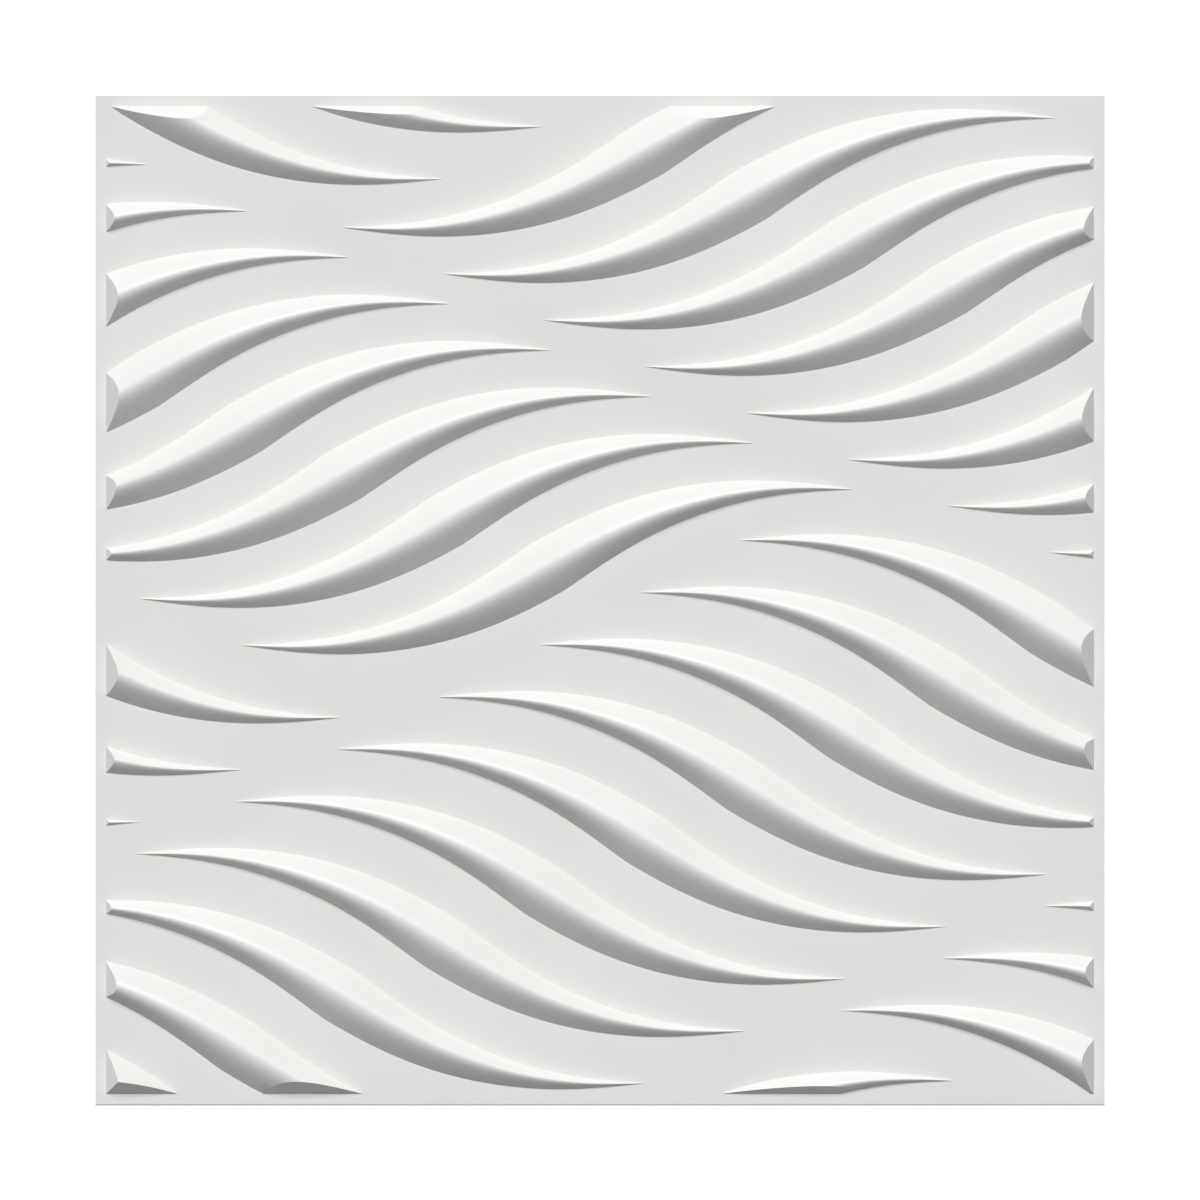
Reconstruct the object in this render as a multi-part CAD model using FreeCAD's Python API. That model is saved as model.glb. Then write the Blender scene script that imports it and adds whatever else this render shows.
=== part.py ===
import FreeCAD, Part
import math
import os

# One wall panel, formed from a single thin plastic sheet. It lies face up: the back of its rim is
# at z = 0, +Y is the top of the panel as it hangs on a wall, and the origin is under its middle.

# Sheet
PANEL_WIDTH = 500.0
PANEL_HEIGHT = 500.0
SHEET_THICKNESS = 1.0
RIM_WIDTH = 5.2

# Waves: each is a leaf, as wide as this at its middle, whose spine swings in an S to both sides of
# its chord. The ripple is a small quicker swing on top. Fullness and taper shape the leaf's edge.
WAVE_WIDTH = 28.3
WAVE_SWAY = 14.9
SWAY_RIPPLE = 0.3
LEAF_FULLNESS = 1.27
LEAF_TAPER = 1.15

# Section across a wave: an arch with nearly straight flanks and a rounded crest, this high at the
# wave's middle. The shoulder is how far the arch's poles stand from its middle, as a share of half
# its width, and the lag is how far the crest hangs back from the swinging spine, as such a share.
WAVE_RELIEF = 10.0
CREST_FULLNESS = 0.88
CREST_SHOULDER = 0.17
CREST_LAG = 0.17

# Where the rim cuts a wave off, its end slopes down to the flat rim
END_SLOPE_RUN = 6.7

# Pattern: it repeats with the panels, so that the waves run on from one panel to the next.
# Rising waves climb to the right, falling waves drop to the right.
WAVES_PER_FAMILY = 10
WAVE_SPACING = PANEL_WIDTH / WAVES_PER_FAMILY
RISING_START = (-26.0, 16.2)
RISING_CHORD = (306.3, 76.9)
RISING_STEP = (-WAVE_SPACING, 23.0)
FALLING_START = (220.7, -14.3)
FALLING_CHORD = (305.1, -87.7)
FALLING_STEP = (-WAVE_SPACING, -25.9)

# How finely a wave is shaped along, and the share of the arch that each flank's flat strip takes,
# with two more strips over the crest
SECTIONS_PER_WAVE = 14
FLANK_SHARE = 0.3

# The share of a wave's chord that each tip is blunted by, and how far its foot dips into the sheet
# so that the two join cleanly
TIP_BLUNTING = 0.01
FOOT_DEPTH = 0.5


def half_width(u):
    """Half the wave's width at a share u of its chord, zero at both tips."""
    reach = abs(2 * u - 1)
    return WAVE_WIDTH / 2 * (1 - reach ** LEAF_FULLNESS) ** LEAF_TAPER


def spine_point(chord, bend, u):
    """A point of the S-shaped spine about the wave's centre, and the unit vector across it."""
    length = math.hypot(chord[0], chord[1])
    along = FreeCAD.Vector(chord[0] / length, chord[1] / length, 0)
    across = FreeCAD.Vector(-along.y, along.x, 0)
    turn = 2 * math.pi * u
    sway = bend * (WAVE_SWAY * math.sin(turn) + SWAY_RIPPLE * math.sin(3 * turn))
    swing = bend * 2 * math.pi * (WAVE_SWAY * math.cos(turn) + 3 * SWAY_RIPPLE * math.cos(3 * turn))
    normal = across - along * (swing / length)
    return along * (length * (u - 0.5)) + across * sway, normal.normalize()


def wave_section(chord, bend, u):
    """The arch across the spine in four flat strips, closed by a chord below the sheet's surface."""
    centre, normal = spine_point(chord, bend, u)
    half = half_width(u)
    crest = WAVE_RELIEF * math.sin(math.pi * u) ** CREST_FULLNESS
    lag = -bend * CREST_LAG * half * math.sin(2 * math.pi * u)
    arch = Part.BezierCurve()
    # Poles at 4/3 of the crest's height and lag bring the middle of the curve to the crest
    arch.setPoles([
        centre - normal * half,
        centre + normal * (4 / 3 * lag - CREST_SHOULDER * half) + FreeCAD.Vector(0, 0, 4 / 3 * crest),
        centre + normal * (4 / 3 * lag + CREST_SHOULDER * half) + FreeCAD.Vector(0, 0, 4 / 3 * crest),
        centre + normal * half])
    points = [arch.value(share) for share in (0, FLANK_SHARE, 0.5, 1 - FLANK_SHARE, 1)]
    for foot, knee in ((0, 1), (-1, -2)):
        points[foot] += (points[foot] - points[knee]) * (FOOT_DEPTH / points[knee].z)
    return Part.makePolygon(points + points[:1])


def wave(chord, bend):
    """One whole wave about its own centre, lofted from tip to tip with closer sections at the tips."""
    sections = []
    for station in range(SECTIONS_PER_WAVE):
        swing = math.cos(math.pi * station / (SECTIONS_PER_WAVE - 1))
        sections.append(wave_section(chord, bend, 0.5 - (0.5 - TIP_BLUNTING) * swing))
    return Part.makeLoft(sections, True)


def relief_window():
    """The space that waves may fill inside the rim, with sides that lean in as they rise."""
    lean = END_SLOPE_RUN / WAVE_RELIEF
    bottom = -2 * FOOT_DEPTH
    top = 2 * WAVE_RELIEF
    wide = PANEL_WIDTH / 2 - RIM_WIDTH
    high = PANEL_HEIGHT / 2 - RIM_WIDTH
    space = Part.makeWedge(
        -wide + lean * bottom, bottom, -high + lean * bottom, -high + lean * top, -wide + lean * top,
        wide - lean * bottom, top, high - lean * bottom, high - lean * top, wide - lean * top)
    space.rotate(FreeCAD.Vector(0, 0, 0), FreeCAD.Vector(1, 0, 0), 90)
    return space


def placed_waves(master, start, step, window):
    """The family's copies that reach into the window, trimmed to it."""
    waves = []
    for index in range(WAVES_PER_FAMILY):
        for column in (-1, 0, 1):
            for row in (-1, 0, 1):
                copy = master.copy()
                copy.translate(FreeCAD.Vector(
                    start[0] + index * step[0] + column * PANEL_WIDTH,
                    start[1] + index * step[1] + row * PANEL_HEIGHT,
                    0))
                if copy.BoundBox.intersect(window.BoundBox):
                    waves.extend(copy.common(window).Solids)
    return waves


def wave_panel():
    window = relief_window()
    waves = placed_waves(wave(RISING_CHORD, -1), RISING_START, RISING_STEP, window)
    waves += placed_waves(wave(FALLING_CHORD, 1), FALLING_START, FALLING_STEP, window)
    # The sheet is drawn down over the mould, so its back has the same waves as its front
    raised = [solid.translated(FreeCAD.Vector(0, 0, SHEET_THICKNESS)) for solid in waves]
    corner = FreeCAD.Vector(-PANEL_WIDTH / 2, -PANEL_HEIGHT / 2, 0)
    sheet = Part.makeBox(PANEL_WIDTH, PANEL_HEIGHT, SHEET_THICKNESS, corner)
    return sheet.fuse(raised).cut(waves).removeSplitter()


panel = wave_panel()
os.makedirs("parts", exist_ok=True)
panel.exportStep("parts/wave_panel.step")
print("solids", len(panel.Solids), "faces", len(panel.Faces), "valid", panel.isValid())
print("volume cm3", round(panel.Volume / 1000, 2), "box", panel.optimalBoundingBox())
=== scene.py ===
import math

import bpy
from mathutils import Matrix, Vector


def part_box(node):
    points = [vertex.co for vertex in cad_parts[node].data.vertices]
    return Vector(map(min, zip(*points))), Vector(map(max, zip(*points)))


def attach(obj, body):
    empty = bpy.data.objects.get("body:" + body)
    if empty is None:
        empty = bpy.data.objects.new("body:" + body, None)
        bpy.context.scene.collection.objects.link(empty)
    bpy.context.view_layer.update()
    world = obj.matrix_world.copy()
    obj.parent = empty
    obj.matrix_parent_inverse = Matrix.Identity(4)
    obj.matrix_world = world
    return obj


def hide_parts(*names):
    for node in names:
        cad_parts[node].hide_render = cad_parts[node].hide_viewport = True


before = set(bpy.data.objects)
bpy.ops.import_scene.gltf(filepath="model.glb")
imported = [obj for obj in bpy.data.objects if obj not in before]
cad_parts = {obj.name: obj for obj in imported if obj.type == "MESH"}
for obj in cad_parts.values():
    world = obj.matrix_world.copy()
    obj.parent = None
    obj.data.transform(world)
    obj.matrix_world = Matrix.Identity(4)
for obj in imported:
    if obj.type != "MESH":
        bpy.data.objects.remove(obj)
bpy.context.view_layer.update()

# A white decorative wall panel, vacuum-formed from one thin sheet of rigid PVC, lying face up.
# Sizes are in millimetres and are turned to metres by MM.
MM = 0.001

# Sheet: as wide as the CAD node, with a rim that stays flat and the burr off its trimmed edges
low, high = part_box("wave_panel")
PANEL = (high[0] - low[0]) / MM
THICKNESS = 1.0
RIM = 5.2
TRIMMED_EDGE = 0.15

# Waves: each is a leaf, as wide as this at its middle, whose spine swings in an S to both sides of
# its chord. The ripple is a small quicker swing on top. Fullness and taper shape the leaf's edge.
WAVE_WIDTH = 28.3
WAVE_SWAY = 14.9
SWAY_RIPPLE = 0.3
LEAF_FULLNESS = 1.27
LEAF_TAPER = 1.15

# Section across a wave: an arch as high at the wave's middle as the CAD node stands over the sheet.
# The shoulder is how far the arch's handles stand from its middle, as a share of half its width, and
# the lag is how far the crest hangs back from the swinging spine, as such a share. Handles as high
# as HANDLE_HEIGHT bring the middle of the arch to a height of 1.
WAVE_RELIEF = (high[2] - low[2]) / MM - THICKNESS
CREST_FULLNESS = 0.88
CREST_SHOULDER = 0.17
CREST_LAG = 0.17
HANDLE_HEIGHT = 4 / 3

# Where the rim cuts a wave off, its end slopes down to the flat rim
END_SLOPE_RUN = 6.7

# Pattern: it repeats with the panels, so that the waves run on from one panel to the next.
# Rising waves climb to the right, falling waves drop to the right.
WAVES_PER_FAMILY = 10
WAVE_SPACING = PANEL / WAVES_PER_FAMILY
RISING = {"start": (-26.0, 16.2), "chord": (306.3, 76.9), "step": (-WAVE_SPACING, 23.0), "bend": -1}
FALLING = {"start": (220.7, -14.3), "chord": (305.1, -87.7), "step": (-WAVE_SPACING, -25.9), "bend": 1}

# How finely a wave is modelled: sections along it, steps across its arch, points of its spine, and
# straight runs that the spine's length between two sections is added up from
STATIONS = 80
ARCH_STEPS = 16
SPINE_POINTS = 160
RUNS_PER_STATION = 8

# The share of a wave's chord that each tip is blunted by, and how far its foot dips into the sheet
# so that the two join cleanly
TIP_BLUNTING = 0.005
FOOT_DEPTH = 0.5

# Points closer than this are one, and edges of more degrees than this stay crisp
DOUBLED_POINTS = 0.005
CRISP_EDGE = 24


# Modelling by hand

def deselect():
    bpy.ops.object.select_all(action="DESELECT")


def pick(piece):
    """Makes the piece the only one that operators act on."""
    deselect()
    piece.select_set(True)
    bpy.context.view_layer.objects.active = piece


def open_mesh(piece, action="SELECT"):
    """Puts the piece in edit mode, with all or nothing of it selected."""
    pick(piece)
    bpy.ops.object.mode_set(mode="EDIT")
    bpy.ops.mesh.select_all(action=action)


def close_mesh():
    bpy.ops.object.mode_set(mode="OBJECT")


def settle(piece):
    """Takes the piece's place, turn and scale into its mesh."""
    pick(piece)
    bpy.ops.object.transform_apply(location=True, rotation=True, scale=True)


def duplicate(piece):
    twin = piece.copy()
    twin.data = piece.data.copy()
    bpy.context.collection.objects.link(twin)
    return twin


def join(pieces):
    deselect()
    for piece in pieces:
        piece.select_set(True)
    bpy.context.view_layer.objects.active = pieces[0]
    bpy.ops.object.join()
    return bpy.context.object


def carve(piece, tool, operation):
    """Joins, cuts or trims the piece with the tool, which stays as it is."""
    cut = piece.modifiers.new("cut", "BOOLEAN")
    cut.operation = operation
    cut.solver = "MANIFOLD"
    cut.object = tool
    pick(piece)
    bpy.ops.object.modifier_apply(modifier=cut.name)


def weld(piece):
    """Merges the doubled points that joining and cutting leave behind."""
    open_mesh(piece)
    bpy.ops.mesh.remove_doubles(threshold=DOUBLED_POINTS * MM)
    close_mesh()


def clear_edges(piece):
    """Takes out the points that cutting leaves along an edge, where no other edge meets it."""
    edges_at = [0] * len(piece.data.vertices)
    for edge in piece.data.edges:
        for end in edge.vertices:
            edges_at[end] += 1
    open_mesh(piece, "DESELECT")
    close_mesh()
    for vertex, edges in zip(piece.data.vertices, edges_at):
        vertex.select = edges == 2
    bpy.ops.object.mode_set(mode="EDIT")
    bpy.ops.mesh.dissolve_verts()
    close_mesh()


# One wave

def half_width(u):
    """Half the wave's width at a share u of its chord, zero at both tips."""
    return WAVE_WIDTH / 2 * (1 - abs(2 * u - 1) ** LEAF_FULLNESS) ** LEAF_TAPER


def crest_height(u):
    return WAVE_RELIEF * math.sin(math.pi * u) ** CREST_FULLNESS


def sway(u):
    """How far the spine swings from its chord."""
    turn = 2 * math.pi * u
    return WAVE_SWAY * math.sin(turn) + SWAY_RIPPLE * math.sin(3 * turn)


def stations():
    """Shares of the chord at which a wave has a section, closer together at its tips."""
    swing = 0.5 - TIP_BLUNTING
    return [0.5 - swing * math.cos(math.pi * step / STATIONS) for step in range(STATIONS + 1)]


def run_along_spine(length, start, end):
    """The spine's length between two shares of its chord."""
    shares = [start + (end - start) * run / RUNS_PER_STATION for run in range(RUNS_PER_STATION + 1)]
    return sum(math.hypot(length * (b - a), sway(b) - sway(a)) for a, b in zip(shares, shares[1:]))


def arch_outline():
    """The section across a wave as a mesh line, from -1 to 1 along Y and 1 high."""
    deselect()
    bpy.ops.curve.primitive_bezier_curve_add(location=(0, 0, 0))
    arch = bpy.context.object
    left, right = arch.data.splines[0].bezier_points
    for foot in (left, right):
        foot.handle_left_type = "FREE"
        foot.handle_right_type = "FREE"
    left.co = left.handle_left = (0, -1, 0)
    left.handle_right = (0, -CREST_SHOULDER, HANDLE_HEIGHT)
    right.co = right.handle_right = (0, 1, 0)
    right.handle_left = (0, CREST_SHOULDER, HANDLE_HEIGHT)
    arch.data.resolution_u = ARCH_STEPS
    bpy.ops.object.convert(target="MESH")
    return bpy.context.object


def spine_curve(length, bend):
    """The S-shaped line that a straight wave is bent along."""
    data = bpy.data.curves.new("spine", "CURVE")
    data.dimensions = "3D"
    data.twist_mode = "Z_UP"
    line = data.splines.new("POLY")
    line.points.add(SPINE_POINTS)
    for step, point in enumerate(line.points):
        u = step / SPINE_POINTS
        point.co = (length * (u - 0.5) * MM, bend * sway(u) * MM, 0, 1)
    spine = bpy.data.objects.new("spine", data)
    bpy.context.collection.objects.link(spine)
    return spine


def extrude_wave(length):
    """Draws the arch out along X from tip to tip, opened and raised to size at each station."""
    wave = arch_outline()
    open_mesh(wave)
    along = 0
    previous = 0
    wide, tall = 1, 1
    for step, u in enumerate(stations()):
        run = run_along_spine(length, previous, u)
        if step == 0:
            bpy.ops.transform.translate(value=(run * MM, 0, 0))
        else:
            bpy.ops.mesh.extrude_region_move(TRANSFORM_OT_translate={"value": (run * MM, 0, 0)})
        along += run
        new_wide, new_tall = half_width(u) * MM, crest_height(u) * MM
        bpy.ops.transform.resize(
            value=(1, new_wide / wide, new_tall / tall), center_override=(along * MM, 0, 0))
        wide, tall = new_wide, new_tall
        previous = u
    close_mesh()
    return wave


def lean_crest(wave, bend):
    """Shifts each section's crest back from the swinging spine."""
    shares = stations()
    for vertex in wave.data.vertices:
        u = shares[vertex.index // (ARCH_STEPS + 1)]
        lag = bend * CREST_LAG * half_width(u) * math.sin(2 * math.pi * u)
        vertex.co.y -= lag * vertex.co.z / crest_height(u)


def close_foot(wave):
    """Draws the wave's border down below the sheet's surface and closes it."""
    open_mesh(wave)
    bpy.ops.mesh.region_to_loop()
    bpy.ops.mesh.extrude_region_move(TRANSFORM_OT_translate={"value": (0, 0, -FOOT_DEPTH * MM)})
    bpy.ops.mesh.edge_face_add()
    bpy.ops.mesh.select_all(action="SELECT")
    bpy.ops.mesh.normals_make_consistent(inside=False)
    close_mesh()


def wave_master(chord, bend):
    """A whole closed wave about its own middle."""
    length = math.hypot(*chord)
    wave = extrude_wave(length)
    lean_crest(wave, bend)
    close_foot(wave)
    spine = spine_curve(length, bend)
    bending = wave.modifiers.new("bending", "CURVE")
    bending.object = spine
    pick(wave)
    bpy.ops.object.modifier_apply(modifier=bending.name)
    bpy.data.objects.remove(spine)
    wave.rotation_euler.z = math.atan2(chord[1], chord[0])
    settle(wave)
    return wave


# The pattern

def flat_sheet():
    """The sheet before the waves are formed in it, the burr taken off its trimmed edges."""
    deselect()
    bpy.ops.mesh.primitive_cube_add(
        size=1, location=(0, 0, THICKNESS / 2 * MM), scale=(PANEL * MM, PANEL * MM, THICKNESS * MM))
    sheet = bpy.context.object
    settle(sheet)
    open_mesh(sheet)
    bpy.ops.mesh.bevel(offset=TRIMMED_EDGE * MM, segments=1, affect="EDGES")
    close_mesh()
    return sheet


def relief_window():
    """The space that waves may fill inside the rim, with sides that lean in as they rise."""
    bottom, top = -2 * FOOT_DEPTH, 2 * WAVE_RELIEF
    lean = END_SLOPE_RUN / WAVE_RELIEF
    bottom_side = PANEL - 2 * RIM - 2 * lean * bottom
    top_side = PANEL - 2 * RIM - 2 * lean * top
    deselect()
    bpy.ops.mesh.primitive_cube_add(
        size=1, location=(0, 0, (bottom + top) / 2 * MM),
        scale=(bottom_side * MM, bottom_side * MM, (top - bottom) * MM))
    window = bpy.context.object
    settle(window)
    open_mesh(window, "DESELECT")
    close_mesh()
    for face in window.data.polygons:
        faces_up = face.normal.z > 0.5
        face.select = faces_up
    bpy.ops.object.mode_set(mode="EDIT")
    draw_in = top_side / bottom_side
    bpy.ops.transform.resize(value=(draw_in, draw_in, 1), center_override=(0, 0, 0))
    close_mesh()
    return window


def places(family):
    """Middles of the family's waves on this panel and on the eight round it."""
    for index in range(WAVES_PER_FAMILY):
        for column in (-1, 0, 1):
            for row in (-1, 0, 1):
                x = family["start"][0] + index * family["step"][0] + column * PANEL
                y = family["start"][1] + index * family["step"][1] + row * PANEL
                yield x, y


def reach(wave):
    """Lowest and highest x and y of the wave, in millimetres."""
    xs = [vertex.co.x / MM for vertex in wave.data.vertices]
    ys = [vertex.co.y / MM for vertex in wave.data.vertices]
    return min(xs), max(xs), min(ys), max(ys)


def placed_waves(family, window):
    """The family's copies that reach inside the rim, trimmed to the window."""
    master = wave_master(family["chord"], family["bend"])
    left, right, bottom, top = reach(master)
    edge = PANEL / 2 - RIM
    waves = []
    for x, y in places(family):
        if right + x < -edge or left + x > edge or top + y < -edge or bottom + y > edge:
            continue
        wave = duplicate(master)
        wave.location = (x * MM, y * MM, 0)
        settle(wave)
        farthest = max(abs(left + x), abs(right + x), abs(bottom + y), abs(top + y))
        if farthest > edge - END_SLOPE_RUN:
            carve(wave, window, "INTERSECT")
        if len(wave.data.polygons):
            waves.append(wave)
        else:
            bpy.data.objects.remove(wave)
    bpy.data.objects.remove(master)
    return waves


def wave_panel():
    """The whole sheet: waves raised on its front, and hollow behind each of them."""
    window = relief_window()
    hollows = join(placed_waves(RISING, window) + placed_waves(FALLING, window))
    bpy.data.objects.remove(window)
    raised = duplicate(hollows)
    raised.location.z = THICKNESS * MM
    settle(raised)
    panel = flat_sheet()
    carve(panel, raised, "UNION")
    carve(panel, hollows, "DIFFERENCE")
    weld(panel)
    clear_edges(panel)
    bpy.data.objects.remove(raised)
    bpy.data.objects.remove(hollows)
    panel.name = panel.data.name = "formed_panel"
    pick(panel)
    bpy.ops.object.shade_smooth_by_angle(angle=math.radians(CRISP_EDGE))
    return panel


# Materials

# The sheet's white and the shade of its clouds, each with the noise at which it is full
PVC_SHADES = ((0.35, "#E0E0DE"), (0.65, "#E2E2E0"))
PVC_ROUGHNESS = (0.40, 0.48)
PVC_IOR = 1.54
CLOUD_WIDTH = 60.0
# The real grain is some 0.1 mm across, too fine to show, so it is drawn coarser
GRAIN_WIDTH = 0.8
GRAIN_DEPTH = 0.02
GRAIN_STRENGTH = 0.05


def linear(code):
    """An sRGB hex colour as linear red, green, blue and alpha."""
    channels = [int(code[place:place + 2], 16) / 255 for place in (1, 3, 5)]
    return [c / 12.92 if c <= 0.04045 else ((c + 0.055) / 1.055) ** 2.4 for c in channels] + [1]


def node(tree, kind, settings=None, links=None):
    """Adds a node, sets its properties and inputs, and links outputs of other nodes into it."""
    added = tree.nodes.new(kind)
    for name, value in (settings or {}).items():
        if name in added.inputs:
            added.inputs[name].default_value = value
        else:
            setattr(added, name, value)
    for name, source in (links or {}).items():
        tree.links.new(source, added.inputs[name])
    return added


def new_material(name):
    material = bpy.data.materials.new(name)
    material.use_nodes = True
    tree = material.node_tree
    tree.nodes.clear()
    return material, tree


def vacuum_formed_pvc():
    """White rigid PVC sheet, vacuum-formed over a matt mould: even, very slightly warm white with a
    soft sheen on the crests, faint clouds where the sheet drew thinner, and the mould's fine grain."""
    material, tree = new_material("vacuum-formed rigid PVC, matt white")
    place = node(tree, "ShaderNodeTexCoord").outputs["Object"]
    clouds = node(tree, "ShaderNodeTexNoise", {
        "Scale": 1 / (CLOUD_WIDTH * MM), "Detail": 3.0}, {"Vector": place})
    tint = node(tree, "ShaderNodeValToRGB", {}, {"Fac": clouds.outputs["Fac"]})
    for element, (noise, colour) in zip(tint.color_ramp.elements, PVC_SHADES):
        element.position = noise
        element.color = linear(colour)
    grain = node(tree, "ShaderNodeTexNoise", {
        "Scale": 1 / (GRAIN_WIDTH * MM), "Detail": 2.0}, {"Vector": place})
    gloss = node(tree, "ShaderNodeMapRange", {
        "To Min": PVC_ROUGHNESS[0], "To Max": PVC_ROUGHNESS[1]}, {"Value": grain.outputs["Fac"]})
    bump = node(tree, "ShaderNodeBump", {
        "Strength": GRAIN_STRENGTH, "Distance": GRAIN_DEPTH * MM}, {"Height": grain.outputs["Fac"]})
    shader = node(tree, "ShaderNodeBsdfPrincipled", {"IOR": PVC_IOR}, {
        "Base Color": tint.outputs["Color"],
        "Roughness": gloss.outputs["Result"],
        "Normal": bump.outputs["Normal"]})
    node(tree, "ShaderNodeOutputMaterial", {}, {"Surface": shader.outputs["BSDF"]})
    return material


# Studio

# The floor is painted, with marks of the roller. The lift is what it adds to its lit colour so that
# it shows as plain white outside the shadow.
FLOOR_SIZE = 12000.0
FLOOR_GAP = 0.03
FLOOR_PAINT = "#D8D8D8"
FLOOR_ROUGHNESS = (0.85, 0.95)
ROLLER_MARKS = 50.0
FLOOR_LIFT = 0.15
WHITE = "#FFFFFF"

# The photograph's frame and the panel in it, in pixels, and the width that the frame takes in
FRAME_PIXELS = 1200
PANEL_PIXELS = 1008.8
FRAME_WIDTH = PANEL * FRAME_PIXELS / PANEL_PIXELS
CAMERA_LENS = 400.0
CAMERA_SENSOR = 36.0
# How many times as far as the panel the camera sees
CAMERA_REACH = 4

# Softboxes too far off to fade over the panel: degrees from its top edge round to its left, degrees
# above it, and strength. The angle is how wide they look, in radians. The sky is the even light that
# comes from all round.
KEY_LAMP = (0, 55, 2.43)
LOW_LAMP = (20, 30, 1.16)
SOFTBOX_ANGLE = 0.4
SKY = 0.083


def seen_directly(tree):
    """1 for the camera and for mirror-like and clear surfaces, 0 for the light that the surface
    throws on the panel."""
    rays = node(tree, "ShaderNodeLightPath")
    glossy = node(tree, "ShaderNodeMath", {"operation": "MAXIMUM"}, {
        0: rays.outputs["Is Camera Ray"], 1: rays.outputs["Is Glossy Ray"]})
    clear = node(tree, "ShaderNodeMath", {"operation": "MAXIMUM"}, {
        0: glossy.outputs[0], 1: rays.outputs["Is Transmission Ray"]})
    return clear.outputs[0]


def white_floor():
    """Studio floor in matt paint: plain white to the eye, and only darker in the panel's shadow."""
    material, tree = new_material("matt painted studio floor")
    place = node(tree, "ShaderNodeTexCoord").outputs["Object"]
    marks = node(tree, "ShaderNodeTexNoise", {
        "Scale": 1 / (ROLLER_MARKS * MM), "Detail": 2.0}, {"Vector": place})
    gloss = node(tree, "ShaderNodeMapRange", {
        "To Min": FLOOR_ROUGHNESS[0], "To Max": FLOOR_ROUGHNESS[1]}, {"Value": marks.outputs["Fac"]})
    paint = node(tree, "ShaderNodeBsdfPrincipled", {
        "Base Color": linear(FLOOR_PAINT),
        "Specular IOR Level": 0.0}, {"Roughness": gloss.outputs["Result"]})
    white = node(tree, "ShaderNodeBsdfPrincipled", {
        "Base Color": linear(WHITE),
        "Specular IOR Level": 0.0,
        "Emission Color": linear(WHITE),
        "Emission Strength": FLOOR_LIFT}, {"Roughness": gloss.outputs["Result"]})
    mix = node(tree, "ShaderNodeMixShader", {}, {
        0: seen_directly(tree), 1: paint.outputs["BSDF"], 2: white.outputs["BSDF"]})
    node(tree, "ShaderNodeOutputMaterial", {}, {"Surface": mix.outputs["Shader"]})
    return material


def floor():
    """A hair below the panel's back, so that the two faces don't flicker through each other."""
    deselect()
    bpy.ops.mesh.primitive_plane_add(size=FLOOR_SIZE * MM, location=(0, 0, -FLOOR_GAP * MM))
    ground = bpy.context.object
    ground.name = "studio_floor"
    settle(ground)
    ground.data.materials.append(white_floor())


def camera():
    """Straight above the panel, which lies with its top edge up in the picture."""
    data = bpy.data.cameras.new("camera")
    data.lens = CAMERA_LENS
    data.sensor_width = CAMERA_SENSOR
    distance = FRAME_WIDTH * MM * CAMERA_LENS / CAMERA_SENSOR
    data.clip_end = CAMERA_REACH * distance
    view = bpy.data.objects.new("camera", data)
    view.location = (0, 0, distance)
    bpy.context.collection.objects.link(view)
    bpy.context.scene.camera = view


def softbox(name, azimuth, elevation, strength):
    data = bpy.data.lights.new(name, "SUN")
    data.energy = strength
    data.angle = SOFTBOX_ANGLE
    turn, lift = math.radians(azimuth), math.radians(elevation)
    towards = Vector((-math.sin(turn) * math.cos(lift), math.cos(turn) * math.cos(lift), math.sin(lift)))
    lamp = bpy.data.objects.new(name, data)
    lamp.rotation_mode = "QUATERNION"
    lamp.rotation_quaternion = towards.to_track_quat("Z", "Y")
    bpy.context.collection.objects.link(lamp)
    return lamp


def lamps():
    """A key lamp, and a low one that only models the flanks: it casts no shadows over the ground
    and shows in no gloss."""
    softbox("key", *KEY_LAMP)
    low_lamp = softbox("low", *LOW_LAMP)
    low_lamp.data.use_shadow = False
    low_lamp.visible_glossy = False


def sky():
    """An even dim sky, which shows as a white backdrop."""
    world = bpy.data.worlds.new("studio")
    world.use_nodes = True
    tree = world.node_tree
    tree.nodes.clear()
    dim = node(tree, "ShaderNodeBackground", {"Color": linear(WHITE), "Strength": SKY})
    white = node(tree, "ShaderNodeBackground", {"Color": linear(WHITE), "Strength": 1.0})
    mix = node(tree, "ShaderNodeMixShader", {}, {
        0: seen_directly(tree), 1: dim.outputs["Background"], 2: white.outputs["Background"]})
    node(tree, "ShaderNodeOutputWorld", {}, {"Surface": mix.outputs["Shader"]})
    bpy.context.scene.world = world


panel = wave_panel()
panel.data.materials.clear()
panel.data.materials.append(vacuum_formed_pvc())
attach(panel, "root")
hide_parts("wave_panel")

floor()
camera()
lamps()
sky()
bpy.context.scene.view_settings.view_transform = "Standard"
